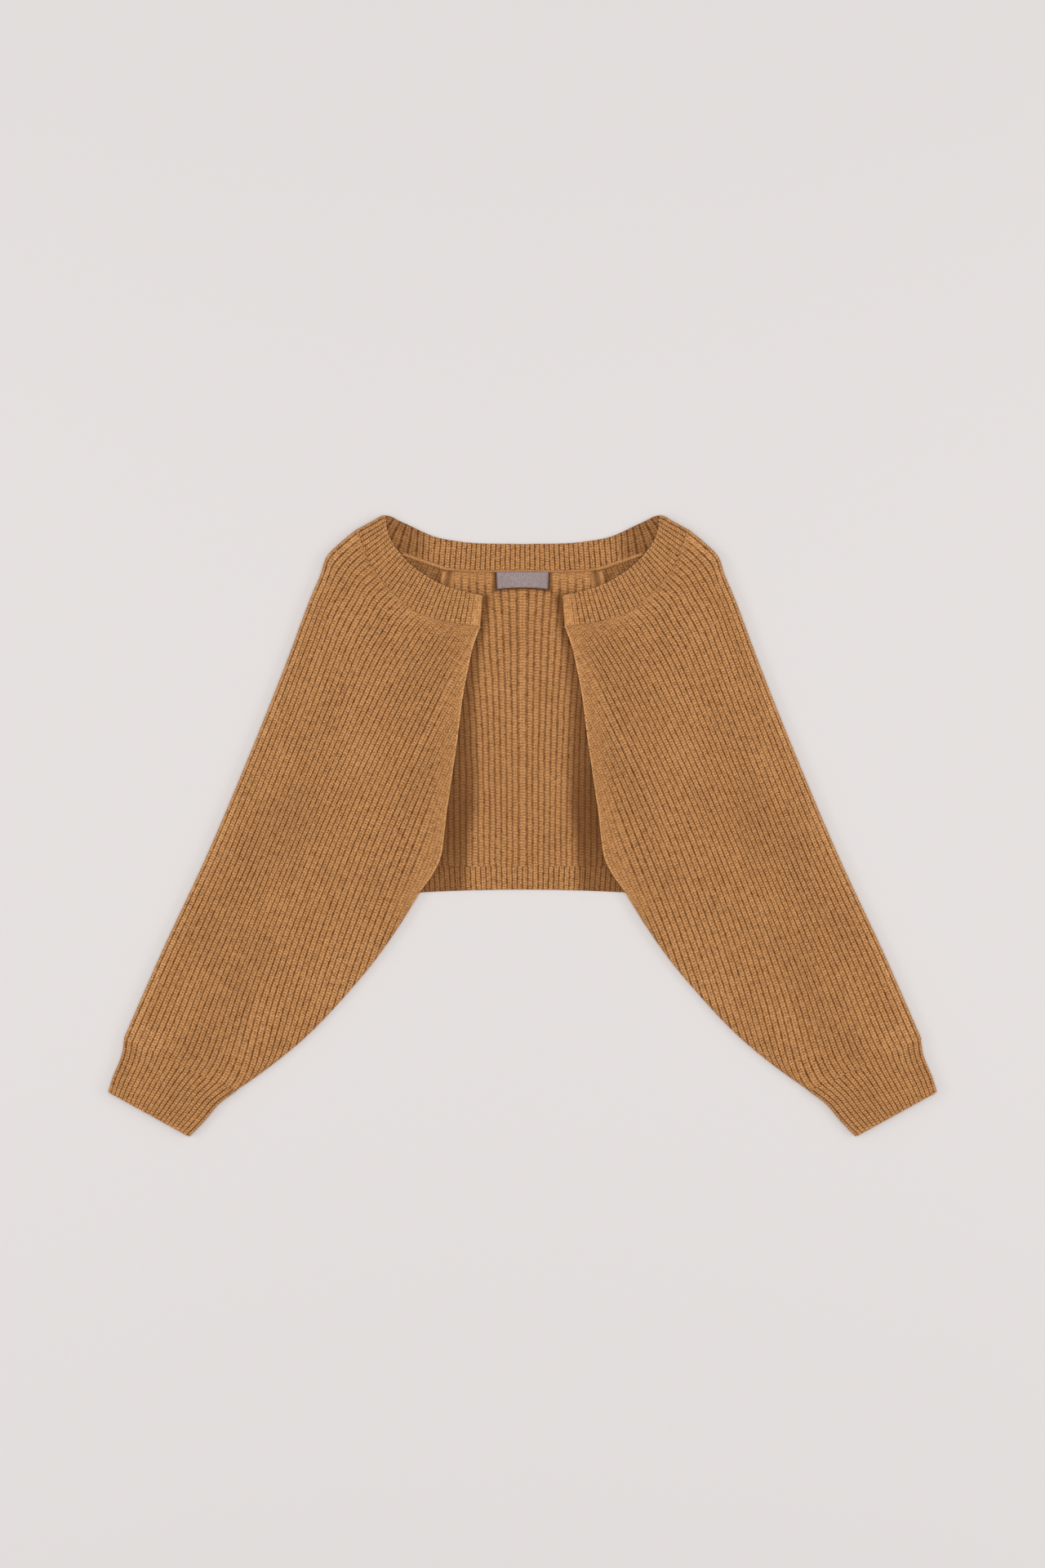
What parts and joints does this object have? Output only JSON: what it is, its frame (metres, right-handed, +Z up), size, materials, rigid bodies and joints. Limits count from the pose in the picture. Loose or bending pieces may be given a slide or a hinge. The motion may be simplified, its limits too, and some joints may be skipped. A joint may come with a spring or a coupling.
{
  "type": "dolman sleeve cardigan",
  "caption": "Cropped open-front rib-knit cardigan with wide dolman sleeves tapering to ribbed cuffs, a ribbed neckband and a bare neck label, laid flat with its front up",
  "frame": {"origin": "On the surface the cardigan lies on, under the middle of its box", "axes": "X across the garment, the wearer's left is +X; Y up the garment towards the neck; Z up from the surface, the front faces up"},
  "size_m": [0.8634, 0.6478, 0.0089],
  "materials": {
    "back_panel_wool": "matt camel wool rib knit",
    "hem_band_wool": "matt camel wool fine rib knit",
    "neckband_wool": "matt camel wool fine rib knit",
    "sleeve_front_left_wool": "matt camel wool rib knit",
    "cuff_left_wool": "matt camel wool fine rib knit",
    "sleeve_front_right_wool": "matt camel wool rib knit",
    "cuff_right_wool": "matt camel wool fine rib knit",
    "woven_tab": "smooth taupe woven ribbon, bare"
  },
  "bodies": {
    "root": {"back_panel": "back_panel_wool", "hem_band": "hem_band_wool", "neckband": "neckband_wool", "sleeve_front_left": "sleeve_front_left_wool", "cuff_left": "cuff_left_wool", "sleeve_front_right": "sleeve_front_right_wool", "cuff_right": "cuff_right_wool", "neck_label": "woven_tab"}
  },
  "joints": []
}
